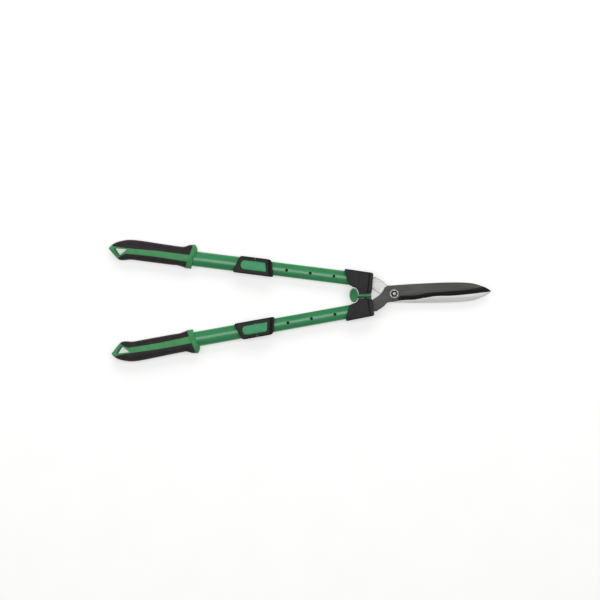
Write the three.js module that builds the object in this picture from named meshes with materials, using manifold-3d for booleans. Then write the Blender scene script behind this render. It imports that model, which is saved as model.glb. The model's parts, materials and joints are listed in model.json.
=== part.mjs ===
// Telescopic hedge shears, closed, handles pulled out to full length, lying on their back.
// Millimetres, +Z up, +X towards the blade tips. The origin is under the middle of the whole shears,
// on the surface they lie on. Shapes are worked out in two frames: the pivot frame, with its origin on
// the pivot axis between the blades, and each handle's frame, where s runs from the pivot end to the
// grip and t points away from the other handle.
import * as THREE from "three";
import { mergeVertices } from "three/addons/utils/BufferGeometryUtils.js";
import Module from "manifold-3d";

const wasm = await Module();
wasm.setup();

// Whole shears
const GAP = 0.3; // between two pieces that touch
const GROUND = -16; // the plane the shears lie on, below the plane between the blades
const HANDLE_ANGLE = THREE.MathUtils.degToRad(8.67); // between a handle and the centreline
const HANDLE_OFFSET = 20.9; // from the pivot to where a handle's axis passes it
const CURVE_STEPS = 4; // straight steps along a curve; an arc takes twice as many
const ROUND_STEPS = 16; // straight steps round a pin, screw or washer

// Blades
const BLADE_THICKNESS = 4;
const BLADE_SPACE = 0.15; // from each blade to the plane between them
const BEVEL_ANGLE = THREE.MathUtils.degToRad(16);
const BEVEL_START = [8, -4.8]; // on the line where the ground bevel leaves the blade's face
const BEVEL_END = [190, 9.2];
const BEVEL_DEPTH = 40; // of the block that cuts the bevel
const TIP = [203.5, -0.5];
const SPINE = [[199.5, 3.7], [187, 10.3], [162, 17.9], [118, 20.6], [42, 19.5], [-11.7, 17.1]];
const TANG_INNER = [[-18, 14.6], [-25.5, 3.2], [-34, -4.2], [-47.8, -12.8]];
const TANG_OUTER = [[-38.6, -36.1], [-24, -27.1], [-15.5, -19], [-8.4, -17.2]];
const CUTTING_EDGE = [
  [16, -14.3], [41.5, -13.5], [67, -9.9], [92, -7.3], [117, -7.5], [155, -5.2], [201.4, -1.1],
];

// Tang inside the bracket, in the handle's frame
const TANG_SHOULDER = 53; // where the tang's outer side begins to run straight
const TANG_END = 74;
const TANG_SIDES = { inner: -11.5, outer: 7 };
const TANG_SLOT = { start: 30, inner: -16.2, outer: 10.5 };
const TANG_SCREW_PLACES = [55, 68];
const TANG_SCREW_SIDE = -2.5;
const TANG_SCREW = { radius: 2.5, head: 4.5, headHeight: 2.8, top: 9 };

// Pivot
const PIVOT_RADIUS = 4;
const PIVOT_HEAD_RADIUS = 9;
const PIVOT_HEAD_HEIGHT = 4.2;
const PIVOT_TOP = 14.4;
const WASHER = { radius: 9.5, height: 1.6 };
const NUT = { acrossFlats: 13, hexHeight: 5.2, collarRadius: 5.9, height: 8 };
const NUT_RING = { outer: 5, height: 2 };

// Brackets
const BRACKET_HALF_HEIGHT = -GROUND;
const BRACKET_BEVEL = 1.5;
const BRACKET_FRONT = { outer: [-42.5, 44.8], inner: -47.6 };
const BRACKET_INNER_FACE = { upper: 1, lower: 8 }; // distance from the centreline
const BRACKET_REAR = { outer: [106.7, 18.4], inner: [-94.7, 21.5] };
const BRACKET_ROUNDING = { frontOuter: 5, frontInner: 3.5, rearInner: 4, rearOuter: 4.5 };
const BRACKET_BAND = 8.5; // from the front edge to the groove behind the front band
const BRACKET_GROOVE = { width: 1.2, depth: 0.7 };
const BRACKET_PANEL = { from: 56, to: 76, inner: -9, outer: 6, depth: 0.8 };
const NOTCH_STEPS = 7;

// Bumper between the brackets
const HEAD = { x: -85, y: -0.8, halfLength: 9, halfWidth: 14.5, low: -12, high: 13, bevel: 3 };
const HEAD_CLEARANCE = 2.2; // from the bumper's head to the brackets
const HEAD_DISH = { radius: 26, depth: 2.2 };
const TAIL = { front: -47.9, back: -78, halfHeight: 12 };
const STEM = { x: -60, radius: 3, end: -12 };

// Tubes: ovals, width across t, height across z
const INNER_TUBE = { width: 28.4, height: 17.9, wall: 1.2, from: 78, to: 350 };
const OUTER_TUBE = { width: 31.5, height: 21, wall: 1.2, from: 262, to: 556 };
const TRAVEL = 150;
const HOLE_PITCH = 50;
const HOLE_RADIUS = 3.2;
const STUD_PLACE = 277; // the latch stud, and the last hole of the inner tube
const TUBE_SCREW = { place: 96, radius: 2, head: 4, headHeight: 2.4, top: -5 };
const BUSH = { depth: 15, flange: 2.7 };

// Latch on the front end of each outer tube
const COLLAR = { low: -13.7, high: 17.2, bevel: 1.5, liner: 0.4 };
const COLLAR_OUTLINE = [[260.5, 18.2, 9], [327.5, 18.2, 5], [339.4, -18, 4.5], [252.5, -18, 4.5]];
const BUTTON_OUTLINE = [[273.2, 10, 3], [324, 10, 9.5], [324, -9.6, 9.5], [268.8, -9.6, 3]];
const BUTTON = { low: 11.95, high: 19.2, roof: 2, wall: 1.8, bevel: 1.2, play: 0.7, tail: 14.4 };
const COLLAR_CHAMFER = { top: 14.2, angle: Math.PI / 4 }; // on the outer edge, where the pin's end shows
const PIN = { place: 295, z: 14.6, radius: 1.8, end: 16.6 };
const LEAF = { from: 272.6, to: 320.5, halfWidth: 4.5, low: 10.8, thickness: 0.8 };
const STUD = { radius: 2.9, tip: 7.4, neck: 1.8, neckTop: 14.6, headRadius: 3, top: 16 };
const FORK = { low: 12.4, high: 14.3, halfGap: 2.2, bridge: 1, from: 272, to: 281 };
const LEAF_RIVET = { place: 316, radius: 1.5, head: 2.8, headHeight: 1.1 };
const COLLAR_RIVET = { place: 310, radius: 2, head: 4, headHeight: 1.1 };

// Grip
const GRIP_HALF_HEIGHT = 14.5;
const GRIP_OUTER_SIDE = [
  [430, 28], [436, 28], [441, 25], [447, 22.3], [454, 21.7], [493.5, 22.5], [530, 23.5], [553, 23.4],
  [566, 21.8], [577, 18.8], [588, 14.3], [595, 9.6], [601, 3.6],
];
const GRIP_INNER_SIDE = [
  [603.6, -2], [599.4, -5.6], [584.2, -19], [576.7, -22.1], [570.3, -22.1], [562, -20.2],
  [552, -18.6], [526.5, -18.7], [469.4, -18.8], [456.7, -18.4], [443.7, -20.3], [437, -22.2], [430, -22.2],
];
const GRIP_SECTION = { inner: -23, outer: 28, round: 13 }; // the grip seen from its end
const GRIP_END = { start: 572, tip: 604, tipHalfHeight: 9, startRounding: 10, tipRounding: 6 };
const STRIPE = [[428, 6], [500, 6.3], [560, 4.2], [590, 4.6], [598, 6.4], [610, 6]];
const STRIPE_BACK = [
  [610, -22], [583, -22], [577.5, -15.6], [568, -8.8], [560, -7.4], [500, -6.4], [428, -8.6],
];
const EYE = [[590, 0.6, 2], [564.6, 2.2, 3], [578.4, -12, 2]];
const GREEN_FRONT = 437; // the pads start here, along a plane that leans as the flange does
const FLANGE = { place: 433, thickness: 7, middle: 3.6, halfWidth: 26, halfHeight: 16, bevel: 2.4 };
const FLANGE_LEAN = THREE.MathUtils.degToRad(5.8);
const FLANGE_NOSE = { from: 424, halfWidth: 20.4, halfHeight: 13.6, middle: 1.6, bevel: 2 };

// Finishes: colour, roughness, metalness
const FINISHES = {
  coated: [0x52504a, 0.45, 0.7],
  steel: [0xc4c6c8, 0.3, 0.9],
  greenPaint: [0x2f8552, 0.35, 0.2],
  greenPlastic: [0x4a885a, 0.5, 0],
  buttonPlastic: [0x4ea06e, 0.45, 0],
  blackPlastic: [0x2e2c2e, 0.5, 0],
  blackRubber: [0x353033, 0.8, 0],
  nylon: [0x1d1d1f, 0.6, 0],
};

const SIDES = { upper: 1, lower: -1 };

// --- Geometry tools ---

const ALONG_S = new THREE.Matrix4().makeBasis(
  new THREE.Vector3(0, 1, 0),
  new THREE.Vector3(0, 0, 1),
  new THREE.Vector3(1, 0, 0),
);

/** A closed geometry as a solid for cutting and joining. */
function solidFrom(geometry) {
  if (!geometry.isBufferGeometry) return geometry;
  const bare = geometry.clone();
  bare.deleteAttribute("normal");
  bare.deleteAttribute("uv");
  const merged = mergeVertices(bare);
  return new wasm.Manifold(
    new wasm.Mesh({
      numProp: 3,
      vertProperties: merged.attributes.position.array,
      triVerts: new Uint32Array(merged.index.array),
    }),
  );
}

function geometryFrom(solid) {
  const mesh = solid.getMesh();
  const geometry = new THREE.BufferGeometry();
  geometry.setAttribute("position", new THREE.BufferAttribute(mesh.vertProperties, 3));
  geometry.setIndex(new THREE.BufferAttribute(mesh.triVerts, 1));
  geometry.computeVertexNormals();
  return geometry;
}

const join = (first, ...others) =>
  others.reduce((whole, other) => whole.add(solidFrom(other)), solidFrom(first));
const cut = (first, ...others) =>
  others.reduce((left, other) => left.subtract(solidFrom(other)), solidFrom(first));
const common = (first, ...others) =>
  others.reduce((left, other) => left.intersect(solidFrom(other)), solidFrom(first));

/** A closed outline through corners [x, y, how far back the corner's rounding starts]. */
function roundedShape(corners) {
  const shape = new THREE.Shape();
  corners.forEach(([x, y, back = 0], i) => {
    const corner = new THREE.Vector2(x, y);
    const before = new THREE.Vector2(...corners.at(i - 1).slice(0, 2));
    const after = new THREE.Vector2(...corners[(i + 1) % corners.length].slice(0, 2));
    const start = corner.clone().add(before.sub(corner).setLength(back));
    const end = corner.clone().add(after.sub(corner).setLength(back));
    if (i === 0) shape.moveTo(start.x, start.y);
    else shape.lineTo(start.x, start.y);
    if (back > 0) shape.quadraticCurveTo(x, y, end.x, end.y);
  });
  return shape;
}

/** An ellipse, as two half turns. */
function ellipseShape(x, y, halfWidth, halfHeight) {
  const shape = new THREE.Shape();
  shape.absellipse(x, y, halfWidth, halfHeight, 0, Math.PI);
  shape.absellipse(x, y, halfWidth, halfHeight, Math.PI, 2 * Math.PI);
  return shape;
}

/** An oval round the origin, given by its whole width and height. */
const ovalShape = (width, height) => ellipseShape(0, 0, width / 2, height / 2);

/** An outline in x and y, from one height to another, with rounded upper and lower edges. */
function plate(shape, low, high, bevel = 0) {
  const geometry = new THREE.ExtrudeGeometry(shape, {
    depth: high - low - 2 * bevel,
    curveSegments: CURVE_STEPS,
    bevelEnabled: bevel > 0,
    bevelThickness: bevel,
    bevelSize: bevel,
    bevelOffset: -bevel,
    bevelSegments: 2,
  });
  return geometry.translate(0, 0, low + bevel);
}

/** A section in t and z carried along the handle. */
function bar(shape, from, to, bevel = 0) {
  return plate(shape, from, to, bevel).applyMatrix4(ALONG_S);
}

function block([x0, x1], [y0, y1], [z0, z1]) {
  return new THREE.BoxGeometry(x1 - x0, y1 - y0, z1 - z0)
    .translate((x0 + x1) / 2, (y0 + y1) / 2, (z0 + z1) / 2);
}

function uprightRod(x, y, radius, low, high, steps = ROUND_STEPS) {
  return new THREE.CylinderGeometry(radius, radius, high - low, steps)
    .rotateX(Math.PI / 2)
    .translate(x, y, (low + high) / 2);
}

function crossRod(x, z, radius, from, to) {
  return new THREE.CylinderGeometry(radius, radius, to - from, ROUND_STEPS)
    .translate(x, (from + to) / 2, z);
}

/** From the handle's frame to the pivot frame, both for the handle on the +Y side. */
function toPivot([s, t, ...rest]) {
  const x = -s * Math.cos(HANDLE_ANGLE) + t * Math.sin(HANDLE_ANGLE);
  const y = HANDLE_OFFSET + s * Math.sin(HANDLE_ANGLE) + t * Math.cos(HANDLE_ANGLE);
  return [x, y, ...rest];
}

function toHandle([x, y, ...rest]) {
  const s = -x * Math.cos(HANDLE_ANGLE) + (y - HANDLE_OFFSET) * Math.sin(HANDLE_ANGLE);
  const t = x * Math.sin(HANDLE_ANGLE) + (y - HANDLE_OFFSET) * Math.cos(HANDLE_ANGLE);
  return [s, t, ...rest];
}

// The handle group only turns, so t is +Y in the lower handle's group and -Y in the upper one's.
const outwards = (side) => -SIDES[side];
const flipped = (points, sign) => points.map(([x, y, ...rest]) => [x, sign * y, ...rest]);
const handleShape = (points, side) => roundedShape(flipped(points, outwards(side)));
const across = (inner, outer, side) => [inner, outer].map((t) => t * outwards(side)).sort((a, b) => a - b);

const shears = new THREE.Group();
const groups = { pivot: new THREE.Group() };
shears.add(groups.pivot);
for (const [side, sign] of Object.entries(SIDES)) {
  groups[side] = new THREE.Group();
  groups[side].position.set(0, sign * HANDLE_OFFSET, 0);
  groups[side].rotation.z = sign * (Math.PI - HANDLE_ANGLE);
  groups[side].updateMatrix();
  groups.pivot.add(groups[side]);
}

function addPiece(group, name, solid, finish) {
  const [color, roughness, metalness] = FINISHES[finish];
  const material = new THREE.MeshStandardMaterial({ color, roughness, metalness });
  const mesh = new THREE.Mesh(geometryFrom(solidFrom(solid)), material);
  mesh.name = name;
  groups[group].add(mesh);
}

// --- Blades and pivot ---

function bladeOutline() {
  const vectors = (points) => points.map(([x, y]) => new THREE.Vector2(x, y));
  const tangCorners = [
    [TANG_END, TANG_SIDES.inner],
    [TANG_END, TANG_SIDES.outer],
    [TANG_SHOULDER, TANG_SIDES.outer],
  ].map(toPivot);
  const shape = new THREE.Shape();
  shape.moveTo(...TIP);
  shape.splineThru(vectors(SPINE));
  shape.splineThru(vectors(TANG_INNER));
  for (const [x, y] of tangCorners) shape.lineTo(x, -y);
  shape.lineTo(...TANG_OUTER[0]);
  shape.splineThru(vectors(TANG_OUTER.slice(1)));
  shape.splineThru(vectors(CUTTING_EDGE));
  return shape;
}

/** The block that grinds the bevel along the cutting edge: its lower face is the bevel. */
function bevelCutter() {
  const run = [BEVEL_END[0] - BEVEL_START[0], BEVEL_END[1] - BEVEL_START[1]];
  const length = Math.hypot(...run) + BEVEL_DEPTH;
  return block([0, length], [-BEVEL_DEPTH, 0], [0, BEVEL_DEPTH])
    .rotateX(BEVEL_ANGLE)
    .rotateZ(Math.atan2(run[1], run[0]))
    .translate(...BEVEL_START, BLADE_SPACE + BLADE_THICKNESS);
}

/** The front blade; the rear blade is the same blade turned over about the centreline. */
function bladeSolid(pivotHole) {
  const top = BLADE_SPACE + BLADE_THICKNESS;
  const screwHoles = TANG_SCREW_PLACES.map((place) => {
    const [x, y] = toPivot([place, TANG_SCREW_SIDE]);
    return uprightRod(x, -y, TANG_SCREW.radius + GAP, -top, 2 * top);
  });
  return cut(plate(bladeOutline(), BLADE_SPACE, top), bevelCutter(), pivotHole, ...screwHoles);
}

function makeBlades() {
  const reach = 2 * BLADE_THICKNESS;
  const roundHole = uprightRod(0, 0, PIVOT_RADIUS + GAP, -reach, reach);
  const half = PIVOT_RADIUS + GAP;
  const squareHole = block([-half, half], [-half, half], [-reach, reach]);
  addPiece("pivot", "blade_front", bladeSolid(roundHole), "coated");
  const rear = geometryFrom(bladeSolid(squareHole)).rotateX(Math.PI);
  addPiece("pivot", "blade_rear", rear, "steel");
}

/** A domed head behind the rear blade, a square neck in it, and a round shank through the front one. */
function pivotBolt() {
  const headTop = -BLADE_SPACE - BLADE_THICKNESS - GAP;
  const dome = new THREE.SphereGeometry(PIVOT_HEAD_RADIUS, ROUND_STEPS, ROUND_STEPS / 2)
    .scale(1, 1, PIVOT_HEAD_HEIGHT / PIVOT_HEAD_RADIUS)
    .translate(0, 0, headTop);
  const reach = 2 * PIVOT_HEAD_RADIUS;
  const below = block([-reach, reach], [-reach, reach], [-reach, headTop]);
  const neckSide = [-PIVOT_RADIUS, PIVOT_RADIUS];
  const insideHead = headTop - PIVOT_HEAD_HEIGHT / 2;
  const neck = block(neckSide, neckSide, [insideHead, -BLADE_SPACE - GAP]);
  return join(common(dome, below), neck, uprightRod(0, 0, PIVOT_RADIUS, insideHead, PIVOT_TOP));
}

function makePivot() {
  const washerLow = BLADE_SPACE + BLADE_THICKNESS + GAP;
  const nutLow = washerLow + WASHER.height + GAP;
  const nutTop = nutLow + NUT.height;
  const ringLow = nutTop - NUT_RING.height;
  const shaftHole = uprightRod(0, 0, PIVOT_RADIUS + GAP, 0, 2 * nutTop);
  const hexRadius = NUT.acrossFlats / 2 / Math.cos(Math.PI / 6);
  const hexagon = uprightRod(0, 0, hexRadius, nutLow, nutLow + NUT.hexHeight, 6);
  const collar = uprightRod(0, 0, NUT.collarRadius, nutLow, nutTop);
  const ringSeat = uprightRod(0, 0, NUT_RING.outer + GAP, ringLow - GAP, 2 * nutTop);
  addPiece("pivot", "pivot_bolt", pivotBolt(), "steel");
  const washer = uprightRod(0, 0, WASHER.radius, washerLow, washerLow + WASHER.height);
  addPiece("pivot", "pivot_washer", cut(washer, shaftHole), "steel");
  addPiece("pivot", "pivot_nut", cut(join(hexagon, collar), shaftHole, ringSeat), "steel");
  const ring = uprightRod(0, 0, NUT_RING.outer, ringLow, nutTop);
  addPiece("pivot", "nut_locking_ring", cut(ring, shaftHole), "nylon");
}

// --- Brackets, bumper and their screws ---

/** The bracket's outline; its notch follows the bumper's head. */
function bracketCorners(side) {
  const innerFace = BRACKET_INNER_FACE[side];
  const headY = SIDES[side] * HEAD.y;
  const halfLength = HEAD.halfLength + HEAD_CLEARANCE;
  const halfWidth = HEAD.halfWidth + HEAD_CLEARANCE;
  const start = Math.asin((innerFace - headY) / halfWidth);
  const notch = Array.from({ length: NOTCH_STEPS + 1 }, (_, k) => {
    const angle = start + (k / NOTCH_STEPS) * (Math.PI / 2 - start);
    return [HEAD.x + halfLength * Math.cos(angle), headY + halfWidth * Math.sin(angle)];
  });
  const inPivotFrame = [
    [...BRACKET_FRONT.outer, BRACKET_ROUNDING.frontOuter],
    [BRACKET_FRONT.inner, innerFace, BRACKET_ROUNDING.frontInner],
    ...notch,
    [...BRACKET_REAR.inner, BRACKET_ROUNDING.rearInner],
  ];
  return [...inPivotFrame.map(toHandle), [...BRACKET_REAR.outer, BRACKET_ROUNDING.rearOuter]];
}

/** The groove behind the front band, cut into the front and the back of the bracket. */
function bandGroove(side) {
  const outer = toHandle(BRACKET_FRONT.outer);
  const inner = toHandle([BRACKET_FRONT.inner, BRACKET_INNER_FACE[side]]);
  const strip = [
    [outer[0] + BRACKET_BAND, outer[1] + BRACKET_BAND],
    [outer[0] + BRACKET_BAND + BRACKET_GROOVE.width, outer[1] + BRACKET_BAND],
    [inner[0] + BRACKET_BAND + BRACKET_GROOVE.width, inner[1] - BRACKET_BAND],
    [inner[0] + BRACKET_BAND, inner[1] - BRACKET_BAND],
  ];
  const depth = BRACKET_HALF_HEIGHT - BRACKET_GROOVE.depth;
  const levels = [[depth, 2 * depth], [-2 * depth, -depth]];
  return levels.map(([low, high]) => plate(handleShape(strip, side), low, high));
}

function bracketSolid(side) {
  const half = BRACKET_HALF_HEIGHT;
  const bladeMiddle = -SIDES[side] * (BLADE_SPACE + BLADE_THICKNESS / 2);
  const slotHalf = BLADE_THICKNESS / 2 + GAP;
  const slot = block(
    [TANG_SLOT.start, TANG_END + GAP],
    across(TANG_SLOT.inner, TANG_SLOT.outer, side),
    [bladeMiddle - slotHalf, bladeMiddle + slotHalf],
  );
  const socket = bar(
    ovalShape(INNER_TUBE.width + 2 * GAP, INNER_TUBE.height + 2 * GAP),
    INNER_TUBE.from - GAP,
    INNER_TUBE.to,
  );
  const panel = block(
    [BRACKET_PANEL.from, BRACKET_PANEL.to],
    across(BRACKET_PANEL.inner, BRACKET_PANEL.outer, side),
    [half - BRACKET_PANEL.depth, 2 * half],
  );
  const stemHole = crossRod(STEM.x, 0, STEM.radius + GAP, STEM.end - GAP, 0)
    .applyMatrix4(groups[side].matrix.clone().invert());
  const body = plate(handleShape(bracketCorners(side), side), -half, half, BRACKET_BEVEL);
  return cut(body, slot, socket, panel, stemHole, ...bandGroove(side), ...screwHoles(side));
}

/** The screws that enter a bracket from its back: [name, place, t, size]. */
function bracketScrews(side) {
  const tang = TANG_SCREW_PLACES.map((place, i) => {
    const name = `tang_screw_${side}_${i + 1}`;
    return [name, place, TANG_SCREW_SIDE, TANG_SCREW];
  });
  return [...tang, [`tube_screw_${side}`, TUBE_SCREW.place, 0, TUBE_SCREW]];
}

function screwHoles(side) {
  return bracketScrews(side).map(([, place, t, size]) => {
    const y = t * outwards(side);
    const under = GROUND + 2 * GAP;
    const shank = uprightRod(place, y, size.radius + GAP, under, size.top + GAP);
    const counterbore = uprightRod(place, y, size.head + GAP, 2 * GROUND, under + size.headHeight + GAP);
    return join(shank, counterbore);
  });
}

function makeBrackets(side) {
  addPiece(side, `bracket_${side}`, bracketSolid(side), "blackPlastic");
  for (const [name, place, t, size] of bracketScrews(side)) {
    addPiece(side, name, fastener(place, t * outwards(side), size, GROUND + 2 * GAP), "steel");
  }
}

/** A low-headed screw or rivet whose head is at the back, with a hexagonal recess in the head. */
function fastener(x, y, size, under) {
  const headTop = under + size.headHeight;
  const shank = uprightRod(x, y, size.radius, under, size.top);
  const recess = uprightRod(x, y, size.head / 2, 2 * under, under + size.headHeight / 2, 6);
  return cut(join(shank, uprightRod(x, y, size.head, under, headTop)), recess);
}

function makeBumper() {
  const oval = ellipseShape(HEAD.x, HEAD.y, HEAD.halfLength, HEAD.halfWidth);
  const head = plate(oval, HEAD.low, HEAD.high, HEAD.bevel);
  const dish = new THREE.SphereGeometry(HEAD_DISH.radius, 2 * ROUND_STEPS, ROUND_STEPS)
    .scale(HEAD.halfLength / HEAD.halfWidth, 1, 1)
    .translate(HEAD.x, HEAD.y, HEAD.high + HEAD_DISH.radius - HEAD_DISH.depth);
  const tailSides = [-BRACKET_INNER_FACE.lower + GAP, BRACKET_INNER_FACE.upper - GAP];
  const tail = block([TAIL.back, TAIL.front], tailSides, [-TAIL.halfHeight, TAIL.halfHeight]);
  const stem = crossRod(STEM.x, 0, STEM.radius, STEM.end, tailSides[0] / 2);
  addPiece("pivot", "bumper", join(cut(head, dish), tail, stem), "greenPlastic");
}

// --- Tubes ---

function tubeSolid({ width, height, wall, from, to }) {
  const inside = bar(ovalShape(width - 2 * wall, height - 2 * wall), from - wall, to + wall);
  return cut(bar(ovalShape(width, height), from, to), inside);
}

function makeInnerTube(side) {
  const latchHoles = Array.from({ length: 1 + TRAVEL / HOLE_PITCH }, (_, k) =>
    uprightRod(STUD_PLACE - k * HOLE_PITCH, 0, HOLE_RADIUS, 0, INNER_TUBE.height),
  );
  const screwHole = uprightRod(TUBE_SCREW.place, 0, TUBE_SCREW.radius + GAP, -INNER_TUBE.height, 0);
  addPiece(side, `inner_tube_${side}`, cut(tubeSolid(INNER_TUBE), ...latchHoles, screwHole), "greenPaint");

  const inset = 2 * (INNER_TUBE.wall + GAP);
  const plug = bar(
    ovalShape(INNER_TUBE.width - inset, INNER_TUBE.height - inset),
    INNER_TUBE.to - BUSH.depth,
    INNER_TUBE.to + BUSH.flange,
  );
  const flange = bar(
    ovalShape(INNER_TUBE.width, INNER_TUBE.height),
    INNER_TUBE.to + GAP,
    INNER_TUBE.to + GAP + BUSH.flange,
  );
  addPiece(side, `tube_end_plug_${side}`, join(plug, flange), "blackPlastic");
}

function makeOuterTube(side) {
  const wallTop = OUTER_TUBE.height;
  const tube = cut(
    tubeSolid(OUTER_TUBE),
    uprightRod(STUD_PLACE, 0, STUD.radius + 2 * GAP, 0, wallTop),
    uprightRod(LEAF_RIVET.place, 0, LEAF_RIVET.radius + GAP, 0, wallTop),
    uprightRod(COLLAR_RIVET.place, 0, COLLAR_RIVET.radius + GAP, -wallTop, 0),
  );
  addPiece(side, `outer_tube_${side}`, tube, "greenPaint");
}

// --- Latch ---

function collarSolid(side) {
  const body = plate(handleShape(COLLAR_OUTLINE, side), COLLAR.low, COLLAR.high, COLLAR.bevel);
  const outerBore = bar(
    ovalShape(OUTER_TUBE.width + 2 * GAP, OUTER_TUBE.height + 2 * GAP),
    OUTER_TUBE.from - GAP,
    OUTER_TUBE.to,
  );
  const innerBore = bar(
    ovalShape(INNER_TUBE.width + 2 * COLLAR.liner, INNER_TUBE.height + 2 * COLLAR.liner),
    INNER_TUBE.from,
    INNER_TUBE.to,
  );
  const pocket = plate(grownButtonShape(side, BUTTON.play), 0, 2 * COLLAR.high);
  const pinHole = crossRod(PIN.place, PIN.z, PIN.radius + GAP, -2 * PIN.end, 2 * PIN.end);
  const rivetSeat = uprightRod(
    COLLAR_RIVET.place,
    0,
    COLLAR_RIVET.head + GAP,
    2 * COLLAR.low,
    COLLAR.low + COLLAR_RIVET.headHeight + 2 * GAP,
  );
  const rivetHole = uprightRod(COLLAR_RIVET.place, 0, COLLAR_RIVET.radius + GAP, 2 * COLLAR.low, 0);
  const reach = 2 * COLLAR.high;
  const chamfer = block([0, OUTER_TUBE.to], [0, reach], [-reach, reach])
    .rotateX(Math.PI / 2 - outwards(side) * COLLAR_CHAMFER.angle)
    .translate(0, outwards(side) * COLLAR_CHAMFER.top, COLLAR.high);
  return cut(body, outerBore, innerBore, pocket, pinHole, rivetSeat, rivetHole, chamfer);
}

/** The button's outline, pushed outwards by a distance from its middle. */
function grownButtonShape(side, distance) {
  const [first, last] = [BUTTON_OUTLINE[3][0], BUTTON_OUTLINE[2][0]];
  const middle = (first + last) / 2;
  const grown = BUTTON_OUTLINE.map(([s, t, back]) => [
    s + Math.sign(s - middle) * distance,
    t + Math.sign(t) * distance,
    back + distance,
  ]);
  return handleShape(grown, side);
}

/** A hollow rocker on the pin, with a fork at its front end that lifts the stud. */
function buttonSolid(side) {
  const outside = plate(grownButtonShape(side, 0), BUTTON.low - BUTTON.bevel, BUTTON.high, BUTTON.bevel);
  const inside = plate(grownButtonShape(side, -BUTTON.wall), 0, BUTTON.high - BUTTON.roof);
  const reach = 2 * BUTTON.high;
  const flatBase = block([0, OUTER_TUBE.to], [-reach, reach], [-reach, BUTTON.low]);
  // The rear half of the skirt slopes up, to leave room for the rocking.
  const rearEnd = BUTTON_OUTLINE[2][0];
  const rearRun = rearEnd - PIN.place - 2 * PIN.radius;
  const rearSlope = Math.atan2(BUTTON.tail - BUTTON.low, rearRun);
  const rearCut = block([0, reach], [-reach, reach], [-reach, 0])
    .rotateY(-rearSlope)
    .translate(rearEnd - rearRun, 0, BUTTON.low);
  const pinHole = crossRod(PIN.place, PIN.z, PIN.radius + GAP, -reach, reach);
  const forkInner = BUTTON_OUTLINE.at(-1)[1];
  const fork = cut(
    block([FORK.from, FORK.to], across(forkInner + GAP, -forkInner - GAP, side), [FORK.low, FORK.high]),
    block([FORK.from + FORK.bridge, OUTER_TUBE.to], [-FORK.halfGap, FORK.halfGap], [0, reach]),
  );
  return join(cut(outside, inside, flatBase, rearCut, pinHole), common(fork, outside));
}

/** A leaf of spring steel on the outer tube with the latch stud riveted into its front end. */
function springSolid() {
  const top = LEAF.low + LEAF.thickness;
  const leaf = block([LEAF.from, LEAF.to], [-LEAF.halfWidth, LEAF.halfWidth], [LEAF.low, top]);
  const rivetHole = uprightRod(LEAF_RIVET.place, 0, LEAF_RIVET.radius + GAP, 0, 2 * top);
  return join(
    cut(leaf, rivetHole),
    uprightRod(STUD_PLACE, 0, STUD.radius, STUD.tip, top),
    uprightRod(STUD_PLACE, 0, STUD.neck, top - LEAF.thickness, STUD.top),
    uprightRod(STUD_PLACE, 0, STUD.headRadius, STUD.neckTop, STUD.top),
  );
}

function makeLatch(side) {
  addPiece(side, `latch_collar_${side}`, collarSolid(side), "blackPlastic");
  addPiece(side, `latch_button_${side}`, buttonSolid(side), "buttonPlastic");
  addPiece(side, `latch_pin_${side}`, crossRod(PIN.place, PIN.z, PIN.radius, -PIN.end, PIN.end), "steel");
  addPiece(side, `latch_spring_${side}`, springSolid(), "steel");

  const innerWall = OUTER_TUBE.height / 2 - OUTER_TUBE.wall;
  const leafTop = LEAF.low + LEAF.thickness + GAP;
  const rivet = join(
    uprightRod(LEAF_RIVET.place, 0, LEAF_RIVET.radius, innerWall, leafTop + LEAF_RIVET.headHeight),
    uprightRod(LEAF_RIVET.place, 0, LEAF_RIVET.head, leafTop, leafTop + LEAF_RIVET.headHeight),
  );
  addPiece(side, `spring_rivet_${side}`, rivet, "steel");
  const collarRivetSize = { ...COLLAR_RIVET, top: -innerWall };
  const collarRivet = fastener(COLLAR_RIVET.place, 0, collarRivetSize, COLLAR.low + GAP);
  addPiece(side, `collar_rivet_${side}`, collarRivet, "steel");
}

// --- Grip ---

/** The grip as one block: its plan, its rounded section and its thinning end, all three at once. */
function gripBlock(side) {
  const half = GRIP_HALF_HEIGHT;
  const plan = plate(handleShape([...GRIP_OUTER_SIDE, ...GRIP_INNER_SIDE], side), -half, half);
  const [low, high] = across(GRIP_SECTION.inner, GRIP_SECTION.outer, side);
  const corners = [[low, -half], [high, -half], [high, half], [low, half]];
  const section = bar(
    roundedShape(corners.map((corner) => [...corner, GRIP_SECTION.round])),
    GRIP_OUTER_SIDE[0][0],
    GRIP_END.tip,
  );
  const reach = 2 * half;
  const profile = plate(
    roundedShape([
      [0, -half],
      [GRIP_END.start, -half, GRIP_END.startRounding],
      [GRIP_END.tip, -GRIP_END.tipHalfHeight, GRIP_END.tipRounding],
      [GRIP_END.tip, GRIP_END.tipHalfHeight, GRIP_END.tipRounding],
      [GRIP_END.start, half, GRIP_END.startRounding],
      [0, half],
    ]),
    -reach,
    reach,
  ).rotateX(Math.PI / 2);
  return common(plan, section, profile);
}

function flangeSolid(side) {
  const middle = FLANGE.middle * outwards(side);
  const rim = bar(
    ellipseShape(0, 0, FLANGE.halfWidth, FLANGE.halfHeight),
    -FLANGE.thickness / 2,
    FLANGE.thickness / 2,
    FLANGE.bevel,
  )
    .rotateZ(outwards(side) * FLANGE_LEAN)
    .translate(FLANGE.place, middle, 0);
  const nose = bar(
    ellipseShape(FLANGE_NOSE.middle * outwards(side), 0, FLANGE_NOSE.halfWidth, FLANGE_NOSE.halfHeight),
    FLANGE_NOSE.from,
    FLANGE.place,
    FLANGE_NOSE.bevel,
  );
  return join(rim, nose);
}

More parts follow.
